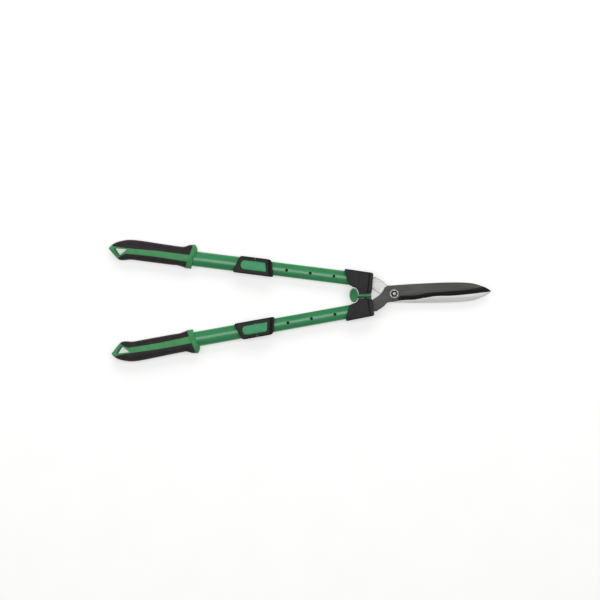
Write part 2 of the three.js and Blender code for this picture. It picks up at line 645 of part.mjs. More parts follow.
function makeGrip(side) {
  const socket = bar(
    ovalShape(OUTER_TUBE.width + 2 * GAP, OUTER_TUBE.height + 2 * GAP),
    0,
    OUTER_TUBE.to + GAP,
  );
  const body = cut(gripBlock(side), socket);
  const reach = 2 * GRIP_HALF_HEIGHT;
  const stripe = (grow) => [
    ...STRIPE.map(([s, t]) => [s, t + grow]),
    ...STRIPE_BACK.map(([s, t]) => [s - (s > OUTER_TUBE.to ? grow : 0), t - grow]),
  ];
  const eye = plate(handleShape(EYE, side), -reach, reach);
  const green = (grow) =>
    join(
      plate(handleShape(stripe(grow), side), -reach, reach),
      block([-reach, grow], [-2 * reach, 2 * reach], [-reach, reach])
        .rotateZ(outwards(side) * FLANGE_LEAN)
        .translate(GREEN_FRONT, FLANGE.middle * outwards(side), 0),
    );
  const core = join(common(body, green(0)), cut(flangeSolid(side), socket));
  addPiece(side, `grip_core_${side}`, cut(core, eye), "greenPlastic");

  const pads = cut(body, green(GAP), eye);
  const length = [0, 2 * OUTER_TUBE.to];
  const halves = { outer: [0, 2 * reach], inner: [-2 * reach, 0] };
  for (const [place, half] of Object.entries(halves)) {
    const region = block(length, across(...half, side), [-reach, reach]);
    addPiece(side, `grip_pad_${place}_${side}`, common(pads, region), "blackRubber");
  }
}

makeBlades();
makePivot();
makeBumper();
for (const side of Object.keys(SIDES)) {
  makeBrackets(side);
  makeInnerTube(side);
  makeOuterTube(side);
  makeLatch(side);
  makeGrip(side);
}

shears.updateMatrixWorld(true);
const bounds = new THREE.Box3().setFromObject(shears, true);
groups.pivot.position.set(
  -(bounds.min.x + bounds.max.x) / 2,
  -(bounds.min.y + bounds.max.y) / 2,
  -bounds.min.z,
);

export default shears;
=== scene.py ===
"""The visible pieces of a telescopic hedge shears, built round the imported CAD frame.

Shapes are worked out in millimetres. The blades, the pivot and the bumper use the pivot frame: its origin is
on the pivot axis, between the blades, with x towards the tips and z up. Each handle has its own frame: s
runs from the pivot end to the grip, t points away from the other handle, and z is up. A matrix then puts each
piece in the row frame.
"""

import json
import math

import bmesh
import bpy
from mathutils import Matrix, Vector


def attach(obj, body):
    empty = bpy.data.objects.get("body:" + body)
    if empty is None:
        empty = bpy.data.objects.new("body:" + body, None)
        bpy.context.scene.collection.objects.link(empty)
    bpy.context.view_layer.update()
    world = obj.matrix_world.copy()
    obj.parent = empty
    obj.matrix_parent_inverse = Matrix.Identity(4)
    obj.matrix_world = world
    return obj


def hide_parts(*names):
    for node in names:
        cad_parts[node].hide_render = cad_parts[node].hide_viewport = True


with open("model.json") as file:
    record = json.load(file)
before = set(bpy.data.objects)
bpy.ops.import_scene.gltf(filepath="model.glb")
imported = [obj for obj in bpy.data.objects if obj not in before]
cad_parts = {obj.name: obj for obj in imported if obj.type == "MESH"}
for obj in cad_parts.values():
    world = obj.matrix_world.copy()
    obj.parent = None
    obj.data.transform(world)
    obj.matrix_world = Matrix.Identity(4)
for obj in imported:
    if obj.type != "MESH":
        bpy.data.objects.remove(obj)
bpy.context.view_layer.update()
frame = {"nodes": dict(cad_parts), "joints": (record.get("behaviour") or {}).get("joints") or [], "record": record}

# --- Sizes in millimetres: the CAD part's, with finer rims, grooves, flanges and hanging eyes ---

MM = 0.001
GAP = 0.3
GROUND = -16
HANDLE_ANGLE = math.radians(8.67)
HANDLE_OFFSET = 20.9
SIDES = {"upper": 1, "lower": -1}

# Steps along curves and round sections
CURVE_STEPS = 8
RIM_STEPS = 4
OVAL_STEPS = 96
ROD_STEPS = 40
SMOOTH_ANGLE = math.radians(33)
LEAST_COSINE = 0.5  # keeps an inset's sharp corners from running away
WELD = 1e-5  # points closer than this become one

# Blades
BLADE_THICKNESS = 4
BLADE_SPACE = 0.15
BLADE_RIM = 0.8
BEVEL_LINE = [
    (6.5, -20), (8.5, -10), (12.5, -5.2), (22, -4.5), (47, -4.4), (71, -0.2), (107, 1.8), (143.6, 3.8),
    (168, 6.3), (180, 8.5), (192, 10.6), (210, 13),
]
BEVEL_DROP = 3.5  # from the blade's face to its cutting edge
BEVEL_REACH = 24
BEVEL_LEAST_WIDTH = 7.5
BEVEL_STATIONS = 120
FACING_OUT = 0.995  # least z of a normal on the flat outside
FACING_IN = -0.1  # greatest z of a normal on the inside; edges and bevel lie between the two
TIP = (203.5, -0.5)
SPINE = [(199.5, 3.7), (187, 10.3), (162, 17.9), (118, 20.6), (42, 19.5), (-11.7, 17.1)]
TANG_INNER = [(-18, 14.6), (-25.5, 3.2), (-34, -4.2), (-47.8, -12.8)]
TANG_OUTER = [(-38.6, -36.1), (-24, -27.1), (-15.5, -19), (-8.4, -17.2)]
CUTTING_EDGE = [
    (16, -14.3), (41.5, -13.5), (67, -9.9), (92, -7.3), (117, -7.5), (155, -5.2), (201.4, -1.1),
]
TANG_SHOULDER = 53
TANG_END = 74
TANG_SIDES = (-11.5, 7)
TANG_SLOT = {"start": 30, "inner": -16.2, "outer": 10.5}
TANG_SCREW_PLACES = (55, 68)
TANG_SCREW_SIDE = -2.5
TANG_SCREW = {"radius": 2.5, "head": 4.5, "head_height": 2.8, "top": 9}
SCREW_HEAD_LOW = GROUND + 2 * GAP  # the heads lie a little inside the bracket's back
FASTENER = {"shank_rim": 0.3, "head_rim": 0.4, "recess_sides": 6}

# Pivot
PIVOT_RADIUS = 4
PIVOT_HEAD = {"radius": 9, "height": 4.2}
PIVOT_TOP = {"height": 14.4, "rim": 0.9}
WASHER = {"radius": 9.5, "height": 1.6, "rim": 0.5}
NUT = {"across_flats": 13, "sides": 6, "hex_height": 5.2, "rim": 0.5, "height": 8}
NUT_COLLAR = {"radius": 5.9, "rim": 0.7}
NUT_RING = {"outer": 5, "height": 2, "rim": 0.3}

# Brackets and bumper
BRACKET_RIM = 1.4
BRACKET_FRONT = {"outer": (-42.5, 44.8, 5), "inner": -47.6, "inner_rounding": 3.5}
BRACKET_INNER_FACE = {"upper": 1, "lower": 8}
BRACKET_REAR = {"outer": (107.2, 18.4, 4.5), "inner": (-94.7, 21.5, 4)}
BRACKET_BAND = 8.5
BRACKET_GROOVE = {"width": 2.2, "floor": 0.2, "depth": 1.5}
BRACKET_PANEL = {"from": 56, "to": 76, "inner": -9, "outer": 6, "depth": 0.8, "rounding": 2.5}
NOTCH_STEPS = 24
HEAD = {"x": -85, "y": -0.8, "half_length": 9, "half_width": 14.5, "low": -12, "high": 13}
HEAD_CLEARANCE = 2.2
TAIL = {"front": -47.9, "back": -78, "half_height": 12, "slope": 4, "rounding": 2, "rim": 0.8}
# The head's section: share of its half width, and depth below its top or height above its underside
HEAD_AXIS = {"radius": 0.4, "depth": 4.2}
HEAD_TOP = [(0.3, 3), (0.55, 1.6), (0.7, 0.4), (0.78, 0), (0.88, 0.5), (0.97, 2), (1, 4.5)]
HEAD_UNDERSIDE = [(1, 3), (0.96, 1), (0.86, 0)]
STEM = {"x": -60, "radius": 3, "end": -12, "rim": 0.4}

# Tubes
INNER_TUBE = {"width": 28.4, "height": 17.9, "wall": 1.2, "from": 78, "to": 350}
OUTER_TUBE = {"width": 31.5, "height": 21, "wall": 1.2, "from": 262, "to": 556}
TUBE_RIM = 0.4
HOLE_PITCH = 50
HOLE_COUNT = 4
HOLE_RADIUS = 3.2
STUD_PLACE = 277
TUBE_SCREW = {"radius": 2, "head": 4, "head_height": 2.4, "top": -5}
TUBE_SCREW_PLACE = 96

# Latch
COLLAR = {"low": -13.7, "high": 17.2, "rim": 2.2, "liner": 0.4}
COLLAR_OUTLINE = [(260.5, 18.2, 9), (327.5, 18.2, 6), (339.4, -18, 5.5), (252.5, -18, 5.5)]
COLLAR_CHAMFER = {"top": 14.2, "angle": math.radians(45)}
COLLAR_LIP = {"back": 9.5, "front": -2, "drop": 5.4, "sag": 1.2, "steps": 12}
BUTTON_OUTLINE = [(273.2, 10, 3), (324, 10, 9.5), (324, -9.6, 9.5), (268.8, -9.6, 3)]
BUTTON = {
    "low": 11.95, "high": 19.2, "roof": 2, "wall": 1.8, "rim": 1.5, "crown": 0.7, "play": 0.7, "tail": 14.4,
}
CROWN_RINGS = (0.9, 0.75, 0.55, 0.3, 0.1)  # the button's top outline, shrunk towards its middle
PIN = {"place": 295, "z": 14.6, "radius": 1.8, "end": 16.6, "rim": 0.5}
STUD = {"radius": 2.9}
FORK = {"low": 12.4, "high": 14.3, "half_gap": 2.2, "bridge": 1, "from": 272, "to": 281}
LEAF_RIVET = {"place": 316, "radius": 1.5}
COLLAR_RIVET = {"radius": 2, "head": 4, "head_height": 1.1}
COLLAR_RIVET_PLACE = 310

# Grip
GRIP_OUTER_SIDE = [
    (426, 28.6), (430, 28.3), (436, 27.3), (441, 24.8), (447, 22.2), (454, 21.6), (493.5, 22.3),
    (530, 23.3), (553, 23.2), (566, 21.7), (577, 18.6), (588, 14.1), (595, 9.5), (601, 3.6), (603.6, -2),
]
GRIP_INNER_SIDE = [
    (426, -22.6), (437, -22.2), (443.7, -20.3), (456.7, -18.4), (469.4, -18.8), (526.5, -18.7), (552, -18.6),
    (562, -20.2), (570.3, -22.1), (576.7, -22.1), (584.2, -19), (599.4, -5.6), (603.6, -2),
]
GRIP_HALF_HEIGHT = 14.5
GRIP_SQUARENESS = 2.5  # 2 is an ellipse, and more is squarer
GRIP_END = {"start": 566, "tip": 603.6, "half_height": 9, "nose": 3, "slope": 1.7}
GRIP_STATIONS = 96
LEAST_HALF_WIDTH = 0.05  # at the very tip
CORE_RECESS = 0.45  # of the green core below the pads
PAD_THICKNESS = 3
STRIPE = [(428, 6), (500, 6.3), (560, 4.2), (590, 4.6), (598, 6.4), (610, 6)]
STRIPE_BACK = [(583, -23), (577.5, -15.6), (568, -8.8), (560, -7.4), (500, -6.4), (428, -8.6)]
STRIPE_END = (612, -23)
EYE = [(590, 0.6, 2), (564.6, 2.2, 3), (578.4, -12, 2)]
EYE_MOUTH = [(593.6, 0.4, 2.4), (564.2, 2.6, 3), (579.6, -15.2, 2.4)]  # the eye's wider top
EYE_TAPER = (2, 11)  # heights between which it narrows
PAD_FRONT = {"place": 434.5, "lean": math.radians(12)}
# Rings of the flange at the grip's front, starting on the tube:
# place, half width, half height, middle, and lean in degrees
FLANGE_RINGS = [
    (423.2, 17.2, 11.8, 0.4, 18), (423.6, 18.4, 12.5, 0.8, 17.5), (425.4, 21.6, 14, 1.8, 15.5),
    (427.7, 24.2, 15.2, 2.8, 13.5), (430, 25.8, 15.9, 3.5, 12.5), (431.8, 26, 16, 3.6, 12),
    (433, 25.7, 15.8, 3.6, 12), (433.6, 25, 15.3, 3.6, 12),
]
FLANGE_STEPS = 4

# --- Frames ---

RECORD = frame["record"]
JOINTS = {joint["name"]: joint for joint in frame["joints"]}
BODY_OF = {node: body for body, nodes in RECORD["behaviour"]["bodies"].items() for node in nodes}
UP = Vector((0, 0, 1))
PIVOT_FRAME = Matrix.Translation(JOINTS["blade_pivot"]["pos_m"]) @ Matrix.Scale(MM, 4)


def handle_frame(side):
    """From a handle's frame to the row frame, from its slide's axis and its latch pin's place."""
    along = -Vector(JOINTS[f"handle_slide_{side}"]["axis"])
    outward = SIDES[side] * Vector((along.y, -along.x, 0))
    pin = Vector(JOINTS[f"latch_rocker_{side}"]["pos_m"])
    origin = pin - MM * (PIN["place"] * along + PIN["z"] * UP)
    directions = Matrix((along, outward, UP)).transposed().to_4x4()
    return Matrix.Translation(origin) @ directions @ Matrix.Scale(MM, 4)


HANDLE_FRAMES = {side: handle_frame(side) for side in SIDES}


def to_handle(x, y):
    """From the pivot frame to the handle's frame, both for the handle on the +y side."""
    cosine, sine = math.cos(HANDLE_ANGLE), math.sin(HANDLE_ANGLE)
    return (-x * cosine + (y - HANDLE_OFFSET) * sine, x * sine + (y - HANDLE_OFFSET) * cosine)


def to_pivot(s, t):
    cosine, sine = math.cos(HANDLE_ANGLE), math.sin(HANDLE_ANGLE)
    return (-s * cosine + t * sine, HANDLE_OFFSET + s * sine + t * cosine)


# --- Outlines ---


def circle(radius, steps=ROD_STEPS):
    return ellipse(radius, radius, steps)


def ellipse(half_width, half_height, steps=OVAL_STEPS):
    turns = [2 * math.pi * k / steps for k in range(steps)]
    return [Vector((half_width * math.cos(a), half_height * math.sin(a))) for a in turns]


def rectangle(left, right, low, high):
    return [Vector(p) for p in ((left, low), (right, low), (right, high), (left, high))]


def moved(outline, x, y):
    return [p + Vector((x, y)) for p in outline]


def rounded(corners, steps=CURVE_STEPS):
    """A closed outline through corners (x, y, how far back the corner's rounding starts)."""
    outline = []
    for i, (x, y, *back) in enumerate(corners):
        corner = Vector((x, y))
        if not back:
            outline.append(corner)
            continue
        before = (Vector(corners[i - 1][:2]) - corner).normalized() * back[0]
        after = (Vector(corners[(i + 1) % len(corners)][:2]) - corner).normalized() * back[0]
        for k in range(steps + 1):
            part = k / steps
            outline.append(corner + before * (1 - part) ** 2 + after * part**2)
    return outline


def spline(points, steps=CURVE_STEPS):
    """Points along a smooth curve through the given ones."""
    p = [Vector(point) for point in points]
    curve = []
    for i in range(len(p) - 1):
        before, here, there, after = p[max(i - 1, 0)], p[i], p[i + 1], p[min(i + 2, len(p) - 1)]
        start, end = (there - before) / 2, (after - here) / 2
        for k in range(steps):
            u = k / steps
            curve.append(
                (2 * u**3 - 3 * u**2 + 1) * here
                + (u**3 - 2 * u**2 + u) * start
                + (3 * u**2 - 2 * u**3) * there
                + (u**3 - u**2) * end
            )
    return [*curve, p[-1]]


def height_at(curve, x):
    """The curve's y at x; the curve runs towards larger x."""
    for here, there in zip(curve, curve[1:]):
        if here.x <= x <= there.x and there.x > here.x:
            return here.y + (there.y - here.y) * (x - here.x) / (there.x - here.x)
    return curve[0].y if x < curve[0].x else curve[-1].y


def anticlockwise(outline):
    area = sum(a.x * b.y - a.y * b.x for a, b in zip(outline, [*outline[1:], outline[0]]))
    return list(outline) if area > 0 else list(reversed(outline))


def inset(outline, distance):
    """An anticlockwise outline, moved inwards."""
    result = []
    for i, here in enumerate(outline):
        before = (here - outline[i - 1]).normalized()
        after = (outline[(i + 1) % len(outline)] - here).normalized()
        middle = (before + after).normalized()
        inward = Vector((-middle.y, middle.x))
        result.append(here + inward * distance / max(middle.dot(after), LEAST_COSINE))
    return result


# --- Solids ---


def upright(point, height):
    return (point.x, point.y, height)


def lengthwise(point, place):
    return (place, point.x, point.y)


def crosswise(point, place):
    return (point.x, place, point.y)


def loft(rings, ring_closed=False):
    """A closed solid through rings of equal length, capped at both ends or joined end to end."""
    count = len(rings[0])
    last = len(rings) if ring_closed else len(rings) - 1
    faces = [
        (i * count + k, i * count + (k + 1) % count, j * count + (k + 1) % count, j * count + k)
        for i, j in ((n, (n + 1) % len(rings)) for n in range(last))
        for k in range(count)
    ]
    if not ring_closed:
        faces += [tuple(range(count)), tuple(range((len(rings) - 1) * count, len(rings) * count))]
    mesh = bpy.data.meshes.new("solid")
    mesh.from_pydata([tuple(p) for ring in rings for p in ring], [], faces)
    shape = bpy.data.objects.new("solid", mesh)
    bpy.context.scene.collection.objects.link(shape)
    face_out(mesh)
    return shape


def face_out(mesh):
    edit = bmesh.new()
    edit.from_mesh(mesh)
    bmesh.ops.remove_doubles(edit, verts=edit.verts, dist=WELD)
    bmesh.ops.recalc_face_normals(edit, faces=edit.faces)
    edit.to_mesh(mesh)
    edit.free()


def rim_profile(low, high, rim):
    """(inset, height) pairs from the lower cap to the upper one."""
    if not rim:
        return [(0, low), (0, high)]
    turns = [math.pi / 2 * k / RIM_STEPS for k in range(RIM_STEPS + 1)]
    lower = [(rim * (1 - math.sin(a)), low + rim * (1 - math.cos(a))) for a in turns]
    return lower + [(distance, low + high - height) for distance, height in reversed(lower)]


def solid(outline, low, high, rim=0.0, lay=upright):
    """An outline carried from low to high, with rounded rims."""
    outline = anticlockwise(outline)
    return loft([[lay(p, h) for p in inset(outline, d)] for d, h in rim_profile(low, high, rim)])


def block(xs, ys, zs):
    return solid(rectangle(*xs, *ys), *zs)


def rod(x, y, radius, low, high, rim=0.0, steps=ROD_STEPS):
    return solid(moved(circle(radius, steps), x, y), low, high, rim)


def cross_rod(x, z, radius, low, high, rim=0.0):
    return solid(moved(circle(radius), x, z), low, high, rim, crosswise)


def oval_bar(tube, play, start, end):
    """The outer shape of a tube, grown by some play in width and height."""
    outline = ellipse((tube["width"] + play) / 2, (tube["height"] + play) / 2)
    return solid(outline, start, end, lay=lengthwise)


def turned(profile, closed=False, steps=2 * ROD_STEPS):
    """A profile of (radius, height) turned about the z axis."""
    rings = [[(p.x, p.y, height) for p in circle(radius, steps)] for radius, height in profile]
    return loft(rings, closed)


def washer(inner, outer, low, high, rim):
    corners = [(inner, low, rim), (outer, low, rim), (outer, high, rim), (inner, high, rim)]
    return turned([tuple(p) for p in rounded(corners, RIM_STEPS)], closed=True)


def baked(target):
    """Applies the modifiers."""
    graph = bpy.context.evaluated_depsgraph_get()
    mesh = bpy.data.meshes.new_from_object(target.evaluated_get(graph))
    target.modifiers.clear()
    target.data = mesh
    return target


def combine(target, others, operation):
    for other in others:
        modifier = target.modifiers.new("combine", "BOOLEAN")
        modifier.operation = operation
        modifier.object = other
        modifier.solver = "EXACT"
        baked(target)
        bpy.data.objects.remove(other)
    return target


def carve(target, *cutters):
    return combine(target, cutters, "DIFFERENCE")


def join(target, *others):
    return combine(target, others, "UNION")


def common(target, *others):
    return combine(target, others, "INTERSECT")


def turn(target, angle, axis, at=(0, 0, 0)):
    target.data.transform(Matrix.Translation(at) @ Matrix.Rotation(angle, 4, axis))
    return target


def copied(target):
    twin = bpy.data.objects.new("solid", target.data.copy())
    bpy.context.scene.collection.objects.link(twin)
    return twin


# --- Materials ---

FLOOR_GLOW = 0.47
FLOW_MARKS = {"size": 9, "depth": 2}  # as multiples of the grain's


def linear(red, green, blue):
    """A colour of 0 to 255 as seen on a screen, as linear light."""
    channels = [c / 255 for c in (red, green, blue)]
    return (*(c / 12.92 if c <= 0.04045 else ((c + 0.055) / 1.055) ** 2.4 for c in channels), 1)


class Look:
    """A procedural material. Its patterns lie in the object's own space, in metres."""

    def __init__(self, name, **settings):
        self.material = bpy.data.materials.new(name)
        self.material.use_nodes = True
        self.tree = self.material.node_tree
        self.shader = self.tree.nodes["Principled BSDF"]
        self.place = self.tree.nodes.new("ShaderNodeTexCoord").outputs["Object"]
        for socket, value in settings.items():
            self.shader.inputs[socket.replace("_", " ")].default_value = value

    def link(self, output, socket):
        self.tree.links.new(output, socket)

    def noise(self, size, detail=3, stretch=(1, 1, 1), angle=0.0):
        """Noise with blotches of a size in millimetres, drawn out along the axes."""
        mapping = self.tree.nodes.new("ShaderNodeMapping")
        mapping.vector_type = "TEXTURE"
        mapping.inputs["Rotation"].default_value = (0, 0, angle)
        mapping.inputs["Scale"].default_value = [size * MM * k for k in stretch]
        self.link(self.place, mapping.inputs["Vector"])
        noise = self.tree.nodes.new("ShaderNodeTexNoise")
        noise.inputs["Scale"].default_value = 1
        noise.inputs["Detail"].default_value = detail
        self.link(mapping.outputs["Vector"], noise.inputs["Vector"])
        return noise.outputs["Fac"]

    def spread(self, value, low, high, start=0.35, end=0.65):
        """A pattern's middle range, spread from low to high."""
        node = self.tree.nodes.new("ShaderNodeMapRange")
        for socket, number in (("From Min", start), ("From Max", end), ("To Min", low), ("To Max", high)):
            node.inputs[socket].default_value = number
        self.link(value, node.inputs["Value"])
        return node.outputs["Result"]

    def tint(self, value, dark, light):
        """The base colour, from dark to light by a pattern."""
        node = self.tree.nodes.new("ShaderNodeMix")
        node.data_type = "RGBA"
        node.inputs["A"].default_value = linear(*dark)
        node.inputs["B"].default_value = linear(*light)
        self.link(self.spread(value, 0, 1), node.inputs["Factor"])
        self.link(node.outputs["Result"], self.shader.inputs["Base Color"])

    def gloss(self, value, low, high):
        self.link(self.spread(value, low, high), self.shader.inputs["Roughness"])

    def relief(self, *patterns):
        """Bumps from (pattern, depth in millimetres), one on top of the other."""
        normal = None
        for value, depth in patterns:
            bump = self.tree.nodes.new("ShaderNodeBump")
            bump.inputs["Distance"].default_value = depth * MM
            bump.inputs["Strength"].default_value = 1
            self.link(value, bump.inputs["Height"])
            if normal:
                self.link(normal, bump.inputs["Normal"])
            normal = bump.outputs["Normal"]
        self.link(normal, self.shader.inputs["Normal"])


def ground_steel(name, dark, light, roughness, metallic):
    """Steel with fine grinding lines along the blade."""
    look = Look(name, Metallic=metallic)
    lines = look.noise(0.35, detail=2, stretch=(140, 1, 1))
    look.tint(look.noise(1.6, stretch=(60, 1, 1)), dark, light)
    look.gloss(lines, *roughness)
    look.relief((lines, 0.006))
    return look.material


def blade_coating():
    """Satin coating with faint streaks along the blade and small pores."""
    look = Look("blade_coating", Specular_IOR_Level=0.25)
    streaks = look.noise(1.4, detail=4, stretch=(45, 1, 1))
    pores = look.noise(0.5, detail=2)
    look.tint(streaks, dark=(58, 56, 51), light=(72, 70, 64))
    look.gloss(look.noise(14, detail=4, stretch=(3, 1, 1)), low=0.36, high=0.5)
    look.relief((streaks, 0.01), (pores, 0.012))
    return look.material


def plated_steel(name, dark, light):
    """Zinc plating: bright, with soft cloudy patches and fine scratches."""
    look = Look(name, Metallic=1)
    scratches = look.noise(0.3, detail=2, stretch=(12, 1, 6), angle=math.radians(25))
    look.tint(look.noise(2.5, detail=4), dark, light)
    look.gloss(look.noise(1.2), low=0.3, high=0.44)
    look.relief((scratches, 0.006))
    return look.material


def green_paint(name, angle):
    """Glossy powder coat on a tube: a fine orange peel, and slight differences along the tube."""
    look = Look(name, Specular_IOR_Level=0.5, Coat_Weight=0.4, Coat_Roughness=0.12)
    look.tint(look.noise(9, 4, stretch=(5, 1, 1), angle=angle), dark=(33, 115, 67), light=(40, 124, 74))
    look.gloss(look.noise(3, detail=4), low=0.26, high=0.34)
    orange_peel, specks = look.noise(1.6, detail=2), look.noise(0.3, detail=2)
    look.relief((orange_peel, 0.004), (specks, 0.0015))
    return look.material


def moulded(name, dark, light, roughness, grain, depth, specular=0.22):
    """Moulded plastic or rubber: a grain of some size and depth, cloudy gloss and faint flow marks."""
    look = Look(name, Specular_IOR_Level=specular)
    look.tint(look.noise(11, detail=5), dark, light)
    look.gloss(look.noise(2.2, detail=4), *roughness)
    flow_marks = look.noise(grain * FLOW_MARKS["size"], detail=2)
    look.relief((look.noise(grain), depth), (flow_marks, depth * FLOW_MARKS["depth"]))
    return look.material


def floor_look():
    """Pale paper that glows a little, so that shadows stay light."""
    look = Look("floor", Roughness=0.9, Emission_Color=(1, 1, 1, 1), Emission_Strength=FLOOR_GLOW)
    look.tint(look.noise(90, detail=4), dark=(188, 188, 187), light=(190, 190, 189))
    return look.material


LOOKS = {
    "blade_coating": blade_coating(),
    "blade_steel": ground_steel("blade_steel", (150, 150, 148), (167, 167, 165), (0.34, 0.46), metallic=1),
    "plated_steel": plated_steel("plated_steel", (114, 115, 117), (138, 139, 140)),
    "spring_steel": plated_steel("spring_steel", (120, 122, 126), (150, 152, 155)),
    "green_plastic": moulded("green_plastic", (52, 124, 72), (60, 133, 81), (0.4, 0.5), 0.35, 0.012),
    "button_plastic": moulded("button_plastic", (48, 128, 84), (55, 137, 92), (0.3, 0.4), 0.3, 0.008),
    "bumper_rubber": moulded("bumper_rubber", (40, 110, 64), (48, 119, 73), (0.22, 0.32), 0.4, 0.01, 0.5),
    "black_plastic": moulded("black_plastic", (21, 19, 21), (26, 24, 26), (0.36, 0.44), 0.35, 0.014, 0.16),
    "grip_rubber": moulded("grip_rubber", (35, 30, 32), (43, 38, 40), (0.55, 0.68), 0.45, 0.022),
    "nylon": moulded("nylon", (24, 24, 26), (32, 32, 34), (0.45, 0.55), 0.4, 0.01),
}
PAINTS = {side: green_paint(f"green_paint_{side}", -SIDES[side] * HANDLE_ANGLE) for side in SIDES}
GROUND_BEVEL = ground_steel("ground_bevel", (22, 20, 18), (34, 32, 28), (0.28, 0.4), metallic=0.6)
# Blackened steel for the pivot nut; the same near-black is also painted shade on the tubes' inner walls
BLACKENED_AND_TUBE_SHADE = plated_steel("blackened_steel_and_tube_shade", (34, 34, 36), (52, 52, 54))
SLOT_OF = {row["node"]: row["material_slot"] for row in RECORD["subparts"]}


def add_piece(shape, node, place, look=None):
    """Puts a finished shape in the row frame as the piece that stands for a CAD node."""
    mesh = shape.data
    mesh.transform(place)
    face_out(mesh)
    mesh.polygons.foreach_set("use_smooth", [True] * len(mesh.polygons))
    mesh.set_sharp_from_angle(angle=SMOOTH_ANGLE)
    if not mesh.materials:
        mesh.materials.append(look or LOOKS[SLOT_OF[node]])
    shape.name = mesh.name = f"{node}_shape"
    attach(shape, BODY_OF[node])
    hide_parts(node)


# --- Blades and pivot ---


def blade_outline():
    tang = [to_pivot(TANG_END, t) for t in TANG_SIDES] + [to_pivot(TANG_SHOULDER, TANG_SIDES[1])]
    return [
        *spline([TIP, *SPINE])[:-1],
        *spline([SPINE[-1], *TANG_INNER]),
        *(Vector((x, -y)) for x, y in tang),
        *spline(TANG_OUTER)[:-1],
        *spline([TANG_OUTER[-1], *CUTTING_EDGE]),
    ]


def bevel_cutter():
    """A ruled block whose lower face is the ground bevel, from the wavy line down to the cutting edge."""
    line, edge = spline(BEVEL_LINE), spline([TANG_OUTER[-1], *CUTTING_EDGE])
    top = BLADE_SPACE + BLADE_THICKNESS
    start, end = BEVEL_LINE[0][0], BEVEL_LINE[-1][0]
    rings = []
    for k in range(BEVEL_STATIONS + 1):
        x = start + (end - start) * k / BEVEL_STATIONS
        y = height_at(line, x)
        slope = BEVEL_DROP / max(y - height_at(edge, x), BEVEL_LEAST_WIDTH)
        far = y - BEVEL_REACH
        rings.append([(x, y, top), (x, far, top - slope * BEVEL_REACH), (x, far, 2 * top), (x, y, 2 * top)])
    return loft(rings)


def blade(hole, outside, inside):
    """A front blade: a coated outside, a bright ground inside, and a dark ground bevel and edges."""
    top = BLADE_SPACE + BLADE_THICKNESS
    holes = [hole]
    for place in TANG_SCREW_PLACES:
        x, y = to_pivot(place, TANG_SCREW_SIDE)
        holes.append(rod(x, -y, TANG_SCREW["radius"] + GAP, -top, 2 * top))
    shape = carve(solid(blade_outline(), BLADE_SPACE, top, BLADE_RIM), bevel_cutter(), *holes)
    looks = [outside, GROUND_BEVEL, inside]
    for look in looks:
        shape.data.materials.append(look)
    for face in shape.data.polygons:
        if face.normal.z < FACING_IN:
            face.material_index = looks.index(inside)
        elif face.normal.z < FACING_OUT:
            face.material_index = looks.index(GROUND_BEVEL)
    return shape


def make_blades():
    reach = 2 * BLADE_THICKNESS
    half = PIVOT_RADIUS + GAP
    coating, steel = LOOKS["blade_coating"], LOOKS["blade_steel"]
    round_hole = rod(0, 0, half, -reach, reach)
    add_piece(blade(round_hole, coating, steel), "blade_front", PIVOT_FRAME)
    square_hole = block((-half, half), (-half, half), (-reach, reach))
    rear = turn(blade(square_hole, coating, steel), math.pi, "X")
    add_piece(rear, "blade_rear", PIVOT_FRAME)


def make_washer_and_nut():
    """The washer on the front blade, the nut over it, and the dark ring that locks the nut."""
    washer_low = BLADE_SPACE + BLADE_THICKNESS + GAP
    nut_low = washer_low + WASHER["height"] + GAP
    nut_top = nut_low + NUT["height"]
    ring_low = nut_top - NUT_RING["height"]
    bore = PIVOT_RADIUS + GAP
    ring = washer(bore, WASHER["radius"], washer_low, washer_low + WASHER["height"], WASHER["rim"])
    add_piece(ring, "pivot_washer", PIVOT_FRAME)

    across = NUT["across_flats"] / 2 / math.cos(math.pi / NUT["sides"])
    hexagon = rod(0, 0, across, nut_low, nut_low + NUT["hex_height"], NUT["rim"], NUT["sides"])
    collar = rod(0, 0, NUT_COLLAR["radius"], nut_low, nut_top, NUT_COLLAR["rim"])
    seat = rod(0, 0, NUT_RING["outer"] + GAP, ring_low - GAP, 2 * nut_top)
    nut = carve(join(hexagon, collar), rod(0, 0, bore, 0, 2 * nut_top), seat)
    add_piece(nut, "pivot_nut", PIVOT_FRAME, BLACKENED_AND_TUBE_SHADE)
    locking_ring = washer(bore, NUT_RING["outer"], ring_low, nut_top, NUT_RING["rim"])
    add_piece(locking_ring, "nut_locking_ring", PIVOT_FRAME)


def make_bolt():
    """A domed head behind the rear blade, a square neck in that blade's hole, and a round shaft."""
    head_top = -BLADE_SPACE - BLADE_THICKNESS - GAP
    turns = [math.pi / 2 * k / ROD_STEPS for k in range(1, ROD_STEPS + 1)]
    radius, height = PIVOT_HEAD["radius"], PIVOT_HEAD["height"]
    dome = [(radius * math.sin(a), head_top - height * math.cos(a)) for a in turns]
    neck = (-PIVOT_RADIUS, PIVOT_RADIUS)
    inside_head = head_top - height / 2
    bolt = join(
        turned(dome),
        block(neck, neck, (inside_head, -BLADE_SPACE - GAP)),
        rod(0, 0, PIVOT_RADIUS, inside_head, PIVOT_TOP["height"], PIVOT_TOP["rim"]),
    )
    add_piece(bolt, "pivot_bolt", PIVOT_FRAME)


# --- Brackets, their screws and the bumper ---


